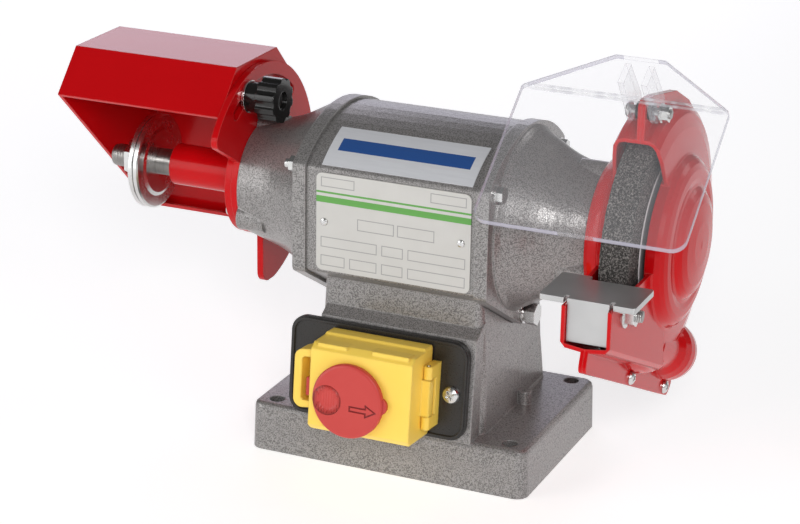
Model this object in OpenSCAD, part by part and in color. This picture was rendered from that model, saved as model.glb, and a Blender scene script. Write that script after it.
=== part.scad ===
// Combination bench grinder: a motor on a cast pedestal drives a guarded grinding
// wheel at one end and a hooded spindle for a brush at the other.
// X runs along the shaft towards the wheel, Y towards the rear, Z up.
// The origin is the centre of the base underside. Sizes are in millimetres.

/* [Base and pedestal] */
// Length of the base along the shaft
base_l = 163; // [156:1:180]
// Depth of the base from front to rear
base_d = 115; // [112:1:130]
// Height of the base block
base_h = 27.5; // [24:0.5:32]
// Radius of the upright corners of the base
base_r = 7; // [4:0.5:10]
// Wall of the base casting
base_wall = 7; // [5:0.5:8]
// Spacing of the bench bolts along the shaft
hole_x = 138; // [134:1:142]
// Spacing of the bench bolts from front to rear
hole_y = 96; // [92:1:98]
// Diameter of the bench bolt holes
hole_d = 8.6; // [6.6:0.1:9]
// Left side of the pedestal neck
neck_x0 = -42.5; // [-46:0.5:-40]
// Right side of the pedestal neck
neck_x1 = 49; // [44:0.5:52]
// Half depth of the pedestal neck
neck_y = 44; // [42:0.5:47]
// Spread of the pedestal foot beyond the neck
foot_spread = 4; // [2:0.5:6]

/* [Motor] */
// Height of the shaft above the bench
shaft_h = 138; // [132:1:146]
// Length of the motor barrel between the end bells
body_l = 97.4; // [94:0.2:104]
// Thickness of the end bell flanges
flange_t = 7.5; // [6:0.5:10]
// Width of the end bell flanges across the upright facets
flange_w = 112.2; // [110:0.2:118]
// Step from the flange outline in to the barrel outline
body_inset = 1.5; // [1:0.1:2.5]
// Crown height of the flange above the shaft
crown_z = 51.6; // [50.5:0.1:55]
// Crown radius of the flange
crown_r = 85; // [75:1:100]
// Distance from the shaft to the slanted lower facets of the flange
facet_d = 53.5; // [52:0.1:56]
// Radius of the stator bore in the barrel
bore_r = 44.5; // [42:0.5:45]
// Length of each end bell from its flange to its small end
bell_l = 45.8; // [42:0.2:52]
// Radius of the small end of the end bells
bell_r = 32; // [30:0.5:34]
// Length of the stator and rotor packs
core_l = 56; // [46:1:58]
// Radius of the rotor pack
rotor_r = 26; // [22:0.5:28]
// Outer radius of the bearings
bearing_r = 17.5; // [16:0.5:18.5]
// Width of the bearings
bearing_w = 11; // [9:0.5:12]
// Radius of the shaft in the bearings
shaft_r = 7.5; // [7:0.1:8.5]

/* [Grinding wheel and guard] */
// Radius of the grinding wheel
wheel_r = 62.5; // [58:0.5:63]
// Thickness of the grinding wheel
wheel_t = 16; // [12:0.5:16]
// Distance from the end bell to the split of the guard
guard_off = 26.5; // [26:0.1:30]
// Distance from the split of the guard back to the middle of the wheel
wheel_back = 2; // [1:0.1:2]
// Radius of the shaft in the wheel
seat_r = 6.3; // [5.5:0.1:6.8]
// Radius of the wheel flanges
wheel_flange_r = 24; // [20:0.5:26]
// Thickness of the wheel flanges
wheel_flange_t = 5; // [4:0.5:5.5]
// Thickness of the paper washers beside the wheel
paper_t = 0.5; // [0.3:0.1:0.8]
// Radius of the card rings on both sides of the grinding wheel
paper_r = 46; // [40:0.5:46]
// Sheet thickness of the guard and the hood
sheet = 2; // [1.5:0.1:2.2]
// Radius of the guard band over the split between its halves
band_r = 72; // [71:0.5:76]
// Half width of the front channel inside its walls
chin_in = 11; // [10.5:0.1:11.4]
// Reach of the front channel ahead of the shaft
chin_y = 107; // [104:0.5:112]

/* [Tool rest and shield] */
// Thickness of the rest plate
rest_t = 3; // [2:0.5:4]
// Width of the rest plate along the shaft
rest_w = 50; // [44:0.5:56]
// Rear edge of the rest plate ahead of the shaft
rest_y = 73; // [70:0.5:76]
// Width of the clear shield
shield_w = 107; // [90:1:116]
// Length of the clear shield below its bend
shield_l = 83; // [70:1:92]
// Thickness of the clear shield
shield_t = 3; // [2:0.5:4]
// Slope of the clear shield below its bend, in degrees
shield_slope = 38; // [32:1:44]

/* [Spindle and hood] */
// Thickness of the hood bracket
ear_t = 3.8; // [3:0.2:5]
// Radius of the hood bracket
ear_r = 65.4; // [64:0.2:68]
// Radius of the slot in the hood bracket
slot_r = 54.5; // [53:0.5:55.5]
// Width of the slot in the hood bracket
slot_w = 7; // [6.8:0.1:8]
// Outer radius of the spindle tube
tube_r = 11.75; // [11.2:0.05:13]
// Length of the spindle tube with its flange
tube_l = 49.7; // [44:0.1:56]
// Length of the hood along the shaft
hood_l = 101; // [96:0.5:108]
// Radius of the clamp discs on the spindle
disc_r = 27; // [24:0.5:30]
// Thickness of each clamp disc on the spindle
disc_t = 4; // [3:0.5:5]
// Radius of the threaded shaft ends
thread_r = 6; // [5:0.1:6.2]
// Radius of the clamp knob
knob_r = 12.5; // [11.5:0.25:14]

/* [Switch] */
// Width of the switch plate
plate_w = 104; // [100:1:108]
// Height of the switch plate
plate_h = 55; // [52:0.5:56]
// Thickness of the switch plate
plate_t = 3; // [2:0.5:4]
// Lean of the switch plate from upright, in degrees
plate_lean = 5.5; // [3:0.5:7]
// Width of the switch lid
lid_w = 58.5; // [56:0.5:60]
// Height of the switch lid
lid_h = 50; // [46:0.5:51]
// Depth of the switch lid in front of the plate
lid_d = 28; // [25:0.5:30]
// Wall of the switch lid
lid_wall = 2; // [1.6:0.1:2.4]
// Radius of the stop disc on the lid
stop_r = 20.2; // [18:0.2:22]
// Travel of the stop disc to the side
stop_travel = 4; // [3:0.5:5]

/* [Fits] */
// Clearance between still parts that slip together
fit = 0.05; // [0.03:0.01:0.1]
// Clearance round turning shafts
run = 0.05; // [0.02:0.01:0.1]
// Clearance between sliding or swinging parts
slip = 0.3; // [0.2:0.05:0.5]

/* [Hidden] */
$fn = 64;
grey = [0.42, 0.42, 0.45];
red = [0.78, 0.05, 0.06];
zinc = [0.75, 0.77, 0.80];
black = [0.06, 0.06, 0.07];
yellow = [0.96, 0.76, 0.08];

x_body = body_l / 2;
x_flange = x_body + flange_t;
x_bell = x_flange + bell_l;
x_split = x_bell + guard_off;
x_wheel = x_split - wheel_back;
x_bearing = x_bell - 5 - bearing_w;
hw = flange_w / 2;

// Stations along the wheel end of the shaft
x_seat = x_wheel - wheel_t / 2 - paper_t - wheel_flange_t;
x_clamp = x_wheel + wheel_t / 2 + paper_t + wheel_flange_t;
nut_h = 9;
thin_nut_h = 7;
nut_r = 11;
x_end = x_clamp + thin_nut_h + 2;

// Stations along the spindle end of the shaft, counted towards the left
x_ear = x_bell + ear_t;
x_tube = x_ear + tube_l;
x_hood = x_ear + 0.2;
x_shoulder = x_tube + 11;
disc_gap = 0.3;
x_washer = x_shoulder + 2 * disc_t + disc_gap;
x_nut = x_washer + 2;
x_tip = x_nut + nut_h + 10.5;
tube_flange_t = 4;

// Screws that hold the guard, the bracket and the tube to the end bells
bell_screw_r = 26;
bell_screw_a = [90, 210, 330];
screw_r = 2.5;

// Tie rods along the barrel: two beside the crown and one under the bore
tie_r = 2.5;
washer_r = 5.2;
tie_pts = [[-46.8, 27], [46.8, 27], [0, -54.5]];

// Guard outline
floor_d = 67.8;
slope = 24.8;
ta = [cos(slope), -sin(slope)];
na = [-sin(slope), -cos(slope)];
front_z = (-floor_d + sin(slope) * chin_y) / cos(slope);
flange_h = 11.5;
outlet_d = 55;
floor_tilt = 6.5;
floor_drop = 1.2;
fin_t = sheet;
rivet_s = [-6, 61];
pivot = [-27.8, 76.5];
pivot_r = 2.5;

// Rest and its clamp
stud = [-87, -10.5];
stud_r = 3;
rest_top = 0;
rest_front = 104.8;

// Hood section, seen from the wheel end, from the front lip over the top to the rear lip
hood_pts = [[-44, 45.5], [-23, 68.4], [25.5, 68.4], [66, 28], [66.2, -52.3], [55.7, -48.6]];
knob_a = 109;
slot_a0 = 49;
slot_a1 = 125;
knob_p = slot_r * [cos(knob_a), sin(knob_a)];

// Switch placing: middle of the back of the plate
sw_x = -4.4;
sw_y = -54.6;
sw_z = base_h + 27.9;
lid_x = -2.2 - sw_x;
lid_v = -1;
pin_x = lid_x + lid_w / 2 + 2.6;
hinge_r = 2.4;
hinge_pin_r = 1.1;
pin_w = plate_t + 12;
pin_v = -2;
lid_w0 = plate_t + 1.4;
stop_x = -7.7 - sw_x;
stop_v = -5.5;
plate_screw_x = [-43, 43];

// Outline in the Y-Z plane drawn out along X from x0 to x1
module slab(x0, x1) {
    translate([x0, 0, 0])
        rotate([90, 0, 90])
            linear_extrude(height = x1 - x0)
                children();
}

// The same outline with its zero on the shaft
module shaft_slab(x0, x1) {
    translate([0, 0, shaft_h])
        slab(x0, x1)
            children();
}

// Round bar on the shaft line
module bar(r, x0, x1) {
    translate([x0, 0, shaft_h])
        rotate([0, 90, 0])
            cylinder(r = r, h = x1 - x0);
}

// Round bar along X through a point given from the shaft
module side_bar(p, r, x0, x1, sides = 64) {
    translate([x0, p[0], shaft_h + p[1]])
        rotate([0, 90, 0])
            cylinder(r = r, h = x1 - x0, $fn = sides);
}

// Turned shape about the shaft from points of radius and X
module turned(pts) {
    translate([0, 0, shaft_h])
        rotate([0, 90, 0])
            rotate_extrude()
                polygon(pts);
}

// Corner rounding of a closed outline, one radius for each corner
function arc_pts(c, s, e, n) = let (
        a0 = atan2(s[1] - c[1], s[0] - c[0]),
        a1 = atan2(e[1] - c[1], e[0] - c[0]),
        d = (a1 - a0 > 180) ? a1 - a0 - 360 : (a1 - a0 < -180) ? a1 - a0 + 360 : a1 - a0,
        r = norm(s - c))
    [for (k = [0 : n]) c + r * [cos(a0 + d * k / n), sin(a0 + d * k / n)]];

function corner(a, b, c, r, n) = let (
        u = (a - b) / norm(a - b),
        v = (c - b) / norm(c - b),
        half = acos(u * v) / 2,
        mid = (u + v) / norm(u + v))
    arc_pts(b + mid * r / sin(half), b + u * r / tan(half), b + v * r / tan(half), n);

function rounded(p, r, n = 6) = [for (i = [0 : len(p) - 1])
    each (r[i] <= 0 ? [p[i]] :
        corner(p[(i + len(p) - 1) % len(p)], p[i], p[(i + 1) % len(p)], r[i], n))];

function ring_pts(r, a0, a1, n) = [for (k = [0 : n])
    r * [cos(a0 + (a1 - a0) * k / n), sin(a0 + (a1 - a0) * k / n)]];

// Bent sheet: a run of points and the same run moved in by the sheet thickness
function side_dir(a, b) = let (d = (b - a) / norm(b - a)) [d[1], -d[0]];
function moved(p, t) = [for (i = [0 : len(p) - 1]) let (
        n0 = side_dir(p[max(i - 1, 0)], p[max(i, 1)]),
        n1 = side_dir(p[min(i, len(p) - 2)], p[min(i + 1, len(p) - 1)]))
    p[i] + t * (n0 + n1) / (1 + n0 * n1)];
function backwards(p) = [for (i = [len(p) - 1 : -1 : 0]) p[i]];
function bent(p, t) = concat(p, backwards(moved(p, t)));

// Rounded rectangle about the origin
module plate2d(w, h, r) {
    polygon(rounded([[-w / 2, -h / 2], [w / 2, -h / 2], [w / 2, h / 2], [-w / 2, h / 2]],
        [r, r, r, r], 8));
}

// Six-sided motor section with a crowned top, stepped in from the flange outline
module section2d(inset, r) {
    side = hw - inset;
    crown_c = crown_z - crown_r;
    cr = crown_r - inset;
    low = facet_d - inset;
    side_top = crown_c + sqrt(cr * cr - side * side);
    side_low = -(low - side * 0.5) / 0.866;
    a_side = acos(side / cr);
    crown = [for (k = [0 : 16]) let (a = a_side + (180 - 2 * a_side) * k / 16)
        [cr * cos(a), crown_c + cr * sin(a)]];
    crown_in = [for (k = [1 : 15]) crown[k]];
    flat_r = [for (k = [1 : 15]) 0];
    polygon(rounded(
        concat([[0, -low / 0.866], [side, side_low], [side, side_top]], crown_in,
            [[-side, side_top], [-side, side_low]]),
        concat([r, r, min(r, 2.5)], flat_r, [min(r, 2.5), r])));
}

// Frame of the switch: X along the plate, Y out of it, Z up along it
module on_switch() {
    translate([sw_x, sw_y, sw_z])
        rotate([-plate_lean, 0, 0])
            rotate([90, 0, 0])
                children();
}

// Block in the switch frame from low to high corner
module sw_box(p, q) {
    translate(p)
        cube(q - p);
}

// Cast base, pedestal and motor barrel in one piece
module housing() {
    cav_x = hole_x / 2 - 12;
    cav_y = base_d / 2 - base_wall - 1;
    roof = shaft_h - facet_d / 0.866 - 1;
    half = (neck_x1 - neck_x0) / 2;
    color(grey)
        difference() {
            union() {
                hull() {
                    for (sx = [-1, 1], sy = [-1, 1])
                        translate([sx * (base_l / 2 - base_r), sy * (base_d / 2 - base_r), 0])
                            rotate_extrude($fn = 32)
                                polygon([[0, 0], [base_r, 0], [base_r - 0.8, base_h - 3],
                                    [base_r - 1.4, base_h - 1.2], [base_r - 3, base_h],
                                    [0, base_h]]);
                }
                hull() {
                    translate([(neck_x0 + neck_x1) / 2, 2, base_h - 1])
                        linear_extrude(height = 1)
                            plate2d(neck_x1 - neck_x0 + 2 * foot_spread,
                                2 * neck_y + 4 + foot_spread, 6);
                    translate([(neck_x0 + neck_x1) / 2, 0, base_h + 26])
                        linear_extrude(height = 1)
                            plate2d(neck_x1 - neck_x0 + 3, 2 * neck_y + 2, 5);
                    translate([(neck_x0 + neck_x1) / 2, 0, shaft_h - 32])
                        linear_extrude(height = 1)
                            plate2d(neck_x1 - neck_x0, 2 * neck_y, 4);
                }
                translate([neck_x1 + foot_spread + 3, 7.5, base_h - 1])
                    cylinder(r = 4.2, h = 8.5);
                switch_pad();
                shaft_slab(-x_body, x_body)
                    section2d(body_inset, 3);
            }
            bar(bore_r, -x_body - 1, x_body + 1);
            shaft_slab(x_body, x_flange + 20)
                section2d(-slip, 4.5);
            shaft_slab(-x_flange - 20, -x_body)
                section2d(-slip, 4.5);
            for (p = tie_pts)
                side_bar(p, tie_r + 0.3, -x_body - 1, x_body + 1);
            for (sx = [-1, 1], sy = [-1, 1])
                translate([sx * hole_x / 2, sy * hole_y / 2, -1])
                    cylinder(d = hole_d, h = base_h + 2);
            difference() {
                translate([-cav_x, -cav_y, -1])
                    cube([2 * cav_x, 2 * cav_y, base_h - base_wall + 1]);
                for (sx = [-1, 1], sy = [-1, 1])
                    translate([sx * (cav_x - 6), sy * (cav_y - 6), 2])
                        cylinder(r = 5.5, h = base_h);
            }
            for (sx = [-1, 1], sy = [-1, 1])
                translate([sx * (cav_x - 6), sy * (cav_y - 6), 1])
                    cylinder(r = 1.6, h = 12);
            translate([neck_x0 + base_wall, -neck_y + base_wall, base_h - base_wall - 2])
                cube([neck_x1 - neck_x0 - 2 * base_wall, 2 * (neck_y - base_wall),
                    roof - base_h]);
            translate([neck_x1 - 22, 12, roof - 20])
                cylinder(r = 5, h = 48);
            for (sx = [-1, 1])
                translate([(neck_x0 + neck_x1) / 2, 10, 0])
                    scale([sx, 1, 1])
                        rotate([90, 0, 180])
                            mirror([1, 0, 0])
                                linear_extrude(height = neck_y + 20)
                                    polygon([[half + foot_spread - 0.9, base_h + 1.2],
                                        [half + 0.6, base_h + 26], [half - 0.9, shaft_h - 31],
                                        [half + 14, shaft_h - 31], [half + 14, base_h + 1.2]]);
            translate([-18, neck_y - 10, 50])
                rotate([-90, 0, 0])
                    cylinder(r = 8.2, h = 30);
            on_switch() {
                sw_box([lid_x - 26, -20, -40], [lid_x + 26, 20, 4]);
                for (x = plate_screw_x)
                    translate([x, -2, -12])
                        cylinder(r = 1.7, h = 20);
            }
        }
}

// Raised pad behind the switch plate with a sloped top
module switch_pad() {
    lean = tan(plate_lean);
    y_top = sw_y + lean * (plate_h / 2 + 1);
    y_low = sw_y - lean * (sw_z - base_h + 1);
    slab(neck_x0 + 2, neck_x1 + 1)
        polygon([[-neck_y + 4, sw_z + plate_h / 2 + 8], [y_top, sw_z + plate_h / 2 + 1],
            [y_low, base_h - 1], [-neck_y + 4, base_h - 1]]);
    slab(sw_x + plate_screw_x[0] - 7, neck_x0 + 4)
        polygon([[-neck_y + 4, sw_z + 12], [sw_y + lean * 16, sw_z + 16],
            [sw_y - lean * 18, sw_z - 18], [-neck_y + 4, sw_z - 14]]);
}

// Sheet that closes the underside of the base
module bottom_cover() {
    cav_x = hole_x / 2 - 12;
    cav_y = base_d / 2 - base_wall - 1;
    color(zinc)
        difference() {
            translate([0, 0, 0.5])
                linear_extrude(height = 1.5)
                    plate2d(2 * cav_x - 1, 2 * cav_y - 1, 3);
            for (sx = [-1, 1], sy = [-1, 1])
                translate([sx * (cav_x - 6), sy * (cav_y - 6), -1])
                    cylinder(r = 1.8, h = 5);
        }
}

module cover_screws() {
    cav_x = hole_x / 2 - 12;
    cav_y = base_d / 2 - base_wall - 1;
    color(zinc)
        for (sx = [-1, 1], sy = [-1, 1])
            translate([sx * (cav_x - 6), sy * (cav_y - 6), 0]) {
                difference() {
                    cylinder(r = 3, h = 0.5);
                    translate([-2, -0.4, -1])
                        cube([4, 0.8, 1.2]);
                }
                cylinder(r = 1.55, h = 10);
            }
}

// End bell: flange, flared cone, bearing seat and three screw bosses at the small end
module end_bell() {
    c0 = x_flange;
    k = bell_l / 45.8;
    d = bell_r - 32;
    color(grey)
        difference() {
            union() {
                shaft_slab(x_body, x_flange)
                    section2d(0, 4.5);
                turned([[0, c0 - 1], [50.5 + d, c0 - 1], [50.5 + d, c0 + 1.2], [49.6 + d, c0 + 2.2],
                    [48.4 + d, c0 + 3.8 * k], [46.2 + d, c0 + 7.8 * k], [44 + d, c0 + 11.8 * k],
                    [41.7 + d, c0 + 15.8 * k], [39.7 + d, c0 + 19.8 * k], [38 + d, c0 + 23.8 * k],
                    [36.7 + d, c0 + 27.8 * k], [35.6 + d, c0 + 31.8 * k], [34.6 + d, c0 + 35.8 * k],
                    [33.2 + d, c0 + 41 * k], [32 + d, x_bell], [0, x_bell]]);
                for (a = bell_screw_a)
                    side_bar((bell_screw_r + 4) * [cos(a), sin(a)], 7.5, x_bell - 16, x_bell);
            }
            turned([[0, x_body - 1], [43.5, x_body - 1], [43.5, c0 + 2], [40 + d, c0 + 10 * k],
                [35.5 + d, c0 + 18 * k], [31.5 + d, x_bearing - 3], [0, x_bearing - 3]]);
            bar(bearing_r + fit, x_bearing - 4, x_bell - 5);
            bar(shaft_r + 2, x_bell - 6, x_bell + 1);
            for (p = tie_pts) {
                side_bar(p, tie_r + 0.3, x_body - 1, x_flange + 1);
                side_bar(p, washer_r + (p[1] < 0 ? 1.8 : 0.6), x_flange, x_flange + 9);
            }
            for (a = bell_screw_a)
                side_bar(bell_screw_r * [cos(a), sin(a)], screw_r + fit, x_bell - 9, x_bell + 1);
        }
}

module right_end_bell() {
    end_bell();
}

module left_end_bell() {
    mirror([1, 0, 0])
        end_bell();
}

// Long bolts with hexagon heads at the wheel end
module tie_rods() {
    color(zinc)
        for (p = tie_pts) {
            side_bar(p, tie_r, -x_flange - 8, x_flange + 1);
            side_bar(p, p[1] < 0 ? washer_r + 0.8 : washer_r, x_flange, x_flange + 1.2);
            side_bar(p, 4.6, x_flange + 1.1, x_flange + (p[1] < 0 ? 3 : 5), p[1] < 0 ? 64 : 6);
            if (p[1] < 0)
                side_bar(p, 6.4, x_flange + 2.9, x_flange + 8.4, 6);
        }
}

module tie_nuts() {
    color(zinc)
        for (p = tie_pts)
            difference() {
                union() {
                    side_bar(p, washer_r, -x_flange - 1.2, -x_flange);
                    side_bar(p, 4.6, -x_flange - 5.2, -x_flange - 1.1, 6);
                }
                side_bar(p, tie_r + fit, -x_flange - 9, -x_flange + 1);
            }
}

module stator_core() {
    color([0.35, 0.36, 0.38])
        difference() {
            bar(bore_r - fit, -core_l / 2, core_l / 2);
            bar(rotor_r + 0.4, -core_l / 2 - 1, core_l / 2 + 1);
            for (a = [0 : 15 : 345])
                translate([0, 0, shaft_h])
                    rotate([a, 0, 0])
                        translate([-core_l / 2 - 1, rotor_r + 2.4, -1.6])
                            cube([core_l + 2, 9, 3.2]);
        }
}

// Coil ends of the stator on both sides of its pack
module stator_windings() {
    color([0.72, 0.40, 0.20])
        for (s = [0, 1])
            mirror([s, 0, 0])
                difference() {
                    turned([[rotor_r + 3, core_l / 2], [bore_r - 4, core_l / 2],
                        [bore_r - 3, core_l / 2 + 3], [bore_r - 5, core_l / 2 + 12],
                        [bore_r - 8, core_l / 2 + 14], [rotor_r + 5, core_l / 2 + 14],
                        [rotor_r + 3, core_l / 2 + 11]]);
                    for (a = [0 : 45 : 315])
                        translate([0, 0, shaft_h])
                            rotate([a + 22.5, 0, 0])
                                translate([core_l / 2 + 11, 0, 0])
                                    cube([7, 2 * bore_r, 2.4], center = true);
                }
}

module bearing_outer_rings() {
    color(zinc)
        for (s = [0, 1])
            mirror([s, 0, 0])
                turned([[shaft_r + 5, x_bearing], [bearing_r, x_bearing],
                    [bearing_r, x_bearing + bearing_w], [shaft_r + 5, x_bearing + bearing_w]]);
}

module bearing_inner_rings() {
    color(zinc)
        for (s = [0, 1])
            mirror([s, 0, 0])
                turned([[shaft_r + fit, x_bearing], [shaft_r + 4.9, x_bearing],
                    [shaft_r + 4.9, x_bearing + bearing_w], [shaft_r + fit, x_bearing + bearing_w]]);
}

// Spring ring that loads the bearing at the spindle end
module preload_washer() {
    color(zinc)
        turned([[bearing_r - 4, -x_bearing + 0.1], [bearing_r - 0.3, -x_bearing + 0.1],
            [bearing_r - 0.3, -x_bearing + 0.9], [bearing_r - 4, -x_bearing + 0.9]]);
}

module rotor_core() {
    color([0.5, 0.5, 0.52])
        difference() {
            union() {
                bar(rotor_r, -core_l / 2, core_l / 2);
                bar(rotor_r - 3, -core_l / 2 - 5, core_l / 2 + 5);
            }
            bar(shaft_r + 1.5 + fit, -core_l / 2 - 6, core_l / 2 + 6);
        }
}

// One stepped shaft from the wheel thread to the spindle thread
module shaft() {
    color(zinc)
        turned([[0, -x_tip], [thread_r - 1, -x_tip], [thread_r, -x_tip + 1],
            [thread_r, -x_shoulder], [shaft_r, -x_shoulder], [shaft_r, -x_bearing],
            [shaft_r + 1.5, -x_bearing], [shaft_r + 1.5, x_bearing], [shaft_r, x_bearing],
            [shaft_r, x_seat], [seat_r, x_seat], [seat_r, x_clamp - 1], [thread_r, x_clamp - 1],
            [thread_r, x_end - 1], [thread_r - 1, x_end], [0, x_end]]);
}

module capacitor() {
    color([0.85, 0.85, 0.83])
        translate([-30, 19, 21])
            rotate([0, 90, 0]) {
                cylinder(r = 14, h = 46);
                translate([0, 0, 45.9])
                    cylinder(r = 8, h = 3.1);
            }
}

// Strap that holds the capacitor down on the cover
module capacitor_clip() {
    color(zinc)
        translate([-14, 19, 0])
            difference() {
                union() {
                    translate([0, 0, 21])
                        rotate([0, 90, 0])
                            cylinder(r = 15.4, h = 12);
                    translate([0, -15.4, 2])
                        cube([12, 30.8, 19]);
                }
                translate([-1, 0, 21])
                    rotate([0, 90, 0])
                        cylinder(r = 14 + fit, h = 14);
                translate([-1, -14 - fit, 3.4])
                    cube([14, 28 + 2 * fit, 17.6]);
            }
}

module terminal_block() {
    color([0.9, 0.9, 0.86])
        difference() {
            translate([-22, -16, 2])
                cube([44, 15, 14]);
            for (x = [-16.5 : 11 : 16.5])
                translate([x, -8.5, 8])
                    cylinder(r = 2.6, h = 10);
        }
}

// Cable entry at the rear of the pedestal
module cable_gland() {
    color(black)
        translate([-18, neck_y, 50])
            rotate([-90, 0, 0])
                difference() {
                    union() {
                        translate([0, 0, -9])
                            cylinder(r = 8, h = 17);
                        translate([0, 0, 6])
                            cylinder(r = 11.5, h = 5, $fn = 6);
                        translate([0, 0, 10.9])
                            cylinder(r = 9.2, h = 7);
                    }
                    translate([0, 0, -10])
                        cylinder(r = 4, h = 40);
                }
}

// Blank plate on the front facet of the barrel
plate_x0 = -x_body + 6.3;
plate_x1 = x_body - 2.5;
plate_z0 = shaft_h - 27;
plate_z1 = shaft_h + 27.6;
face_y = -(hw - body_inset);

module rating_plate() {
    color([0.9, 0.91, 0.9])
        difference() {
            translate([(plate_x0 + plate_x1) / 2, face_y, (plate_z0 + plate_z1) / 2])
                rotate([90, 0, 0])
                    linear_extrude(height = 0.7)
                        plate2d(plate_x1 - plate_x0, plate_z1 - plate_z0, 3.5);
            rivet_places()
                cylinder(r = 1.3, h = 8, center = true);
        }
}

module rivet_places() {
    for (x = [plate_x0 + 4.6, plate_x1 - 5.4])
        translate([x, face_y, (plate_z0 + plate_z1) / 2])
            rotate([90, 0, 0])
                children();
}

module plate_rivets() {
    color(zinc)
        rivet_places() {
            rotate_extrude()
                polygon([[0, 0.05], [1.25, 0.05], [1.25, 0.7], [2.2, 0.7], [1.9, 1.2],
                    [1.1, 1.6], [0, 1.7]]);
        }
}

// Blank panel bent to the crown above the plate
module label_panel() {
    cr = crown_r - body_inset;
    cc = crown_z - crown_r;
    a0 = 109.8;
    a1 = 129.4;
    color([0.75, 0.76, 0.78])
        intersection() {
            difference() {
                translate([-x_body, 0, shaft_h + cc])
                    rotate([0, 90, 0])
                        cylinder(r = cr + 0.4, h = 2 * x_body, $fn = 128);
                shaft_slab(-x_body - 1, x_body + 1)
                    section2d(body_inset - 0.04, 3);
            }
            shaft_slab(-x_body + 8.5, x_body - 2.9)
                polygon([[0, cc], [1.2 * cr * cos(a0), cc + 1.2 * cr * sin(a0)],
                    [1.2 * cr * cos(a1), cc + 1.2 * cr * sin(a1)]]);
        }
}

// Black plate with a double raised rim
module switch_plate() {
    color(black)
        on_switch()
            difference() {
                union() {
                    linear_extrude(height = plate_t)
                        plate2d(plate_w, plate_h, 9);
                    linear_extrude(height = plate_t + 1)
                        difference() {
                            plate2d(plate_w - 1.5, plate_h - 1.5, 8.4);
                            plate2d(plate_w - 4.5, plate_h - 4.5, 7);
                        }
                }
                sw_box([lid_x - 25, -16, -1], [lid_x + 25, 16, plate_t + 1]);
                for (x = plate_screw_x)
                    translate([x, -2, -1])
                        cylinder(r = 2.2, h = 10);
            }
}

// Pan head screws with crossed recesses
module pan_head(r, h, shank, l) {
    difference() {
        union() {
            rotate_extrude()
                polygon([[0, 0], [r, 0], [r, h * 0.3], [r * 0.86, h * 0.7], [r * 0.55, h * 0.95],
                    [0, h]]);
            translate([0, 0, -l])
                cylinder(r = shank, h = l + 0.1);
        }
        for (a = [0, 90])
            rotate([0, 0, a])
                translate([-r * 0.55, -r * 0.11, h * 0.45])
                    cube([r * 1.1, r * 0.22, h]);
    }
}

module switch_screws() {
    color(zinc)
        on_switch()
            for (x = plate_screw_x)
                translate([x, -2, plate_t])
                    rotate([0, 0, 30])
                        pan_head(4.8, 2.8, 1.65, 12);
}

// Switch block in the window behind the plate, with two button wells
module switch_body() {
    color(black)
        on_switch()
            difference() {
                union() {
                    sw_box([lid_x - 24.8, -15.8, -22], [lid_x + 24.8, 15.8, plate_t]);
                    sw_box([lid_x - 25.8, -17.5, plate_t], [lid_x + 25.8, 17.5, plate_t + 1.2]);
                }
                for (x = [-11.5, 11.5])
                    sw_box([lid_x + x - 9.5, -12.5, -8], [lid_x + x + 9.5, 12.5, plate_t + 3]);
            }
}

module button(x) {
    on_switch()
        sw_box([lid_x + x - 9.5 + slip, -12.5 + slip, -4.2], [lid_x + x + 9.5 - slip,
            12.5 - slip, plate_t + 3.6]);
}

module start_button() {
    color([0.1, 0.5, 0.2])
        button(-11.5);
}

module stop_button() {
    color(red)
        button(11.5);
}

// Fixed yellow pieces of the lid: hinge lugs at the right and catch loop at the left
module lid_frame() {
    lx = lid_x - lid_w / 2;
    color(yellow)
        on_switch() {
            for (v = [pin_v + 10.3, pin_v - 17.5]) {
                difference() {
                    union() {
                        translate([pin_x, v, pin_w])
                            rotate([-90, 0, 0])
                                cylinder(r = hinge_r, h = 7.2);
                        translate([pin_x - hinge_r + 0.1, v, plate_t])
                            cube([2 * hinge_r - 0.2, 7.2, pin_w - plate_t]);
                    }
                    translate([pin_x, -40, pin_w])
                        rotate([-90, 0, 0])
                            cylinder(r = hinge_pin_r + fit, h = 80);
                }
            }
            sw_box([pin_x - hinge_r + 0.1, pin_v - 17.5, plate_t],
                [pin_x + hinge_r - 0.1, pin_v + 17.5, plate_t + 6]);
            translate([0, 0, plate_t])
                difference() {
                    linear_extrude(height = 18)
                        polygon(rounded([[lx - 14, -19], [lx - 0.6, -17], [lx - 0.6, 15.5],
                            [lx - 14, 14]], [5, 1, 1, 5]));
                    translate([0, 0, 8])
                        linear_extrude(height = 20)
                            polygon(rounded([[lx - 9.5, -14], [lx + 5, -14], [lx + 5, 10.5],
                                [lx - 9.5, 10.5]], [2, 0, 0, 2]));
                    translate([lx - 20, -30, -1])
                        cube([10.5, 60, 8]);
                }
        }
}

module lid_pin() {
    color(zinc)
        on_switch()
            translate([pin_x, pin_v - 18, pin_w])
                rotate([-90, 0, 0])
                    cylinder(r = hinge_pin_r, h = 36);
}

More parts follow.
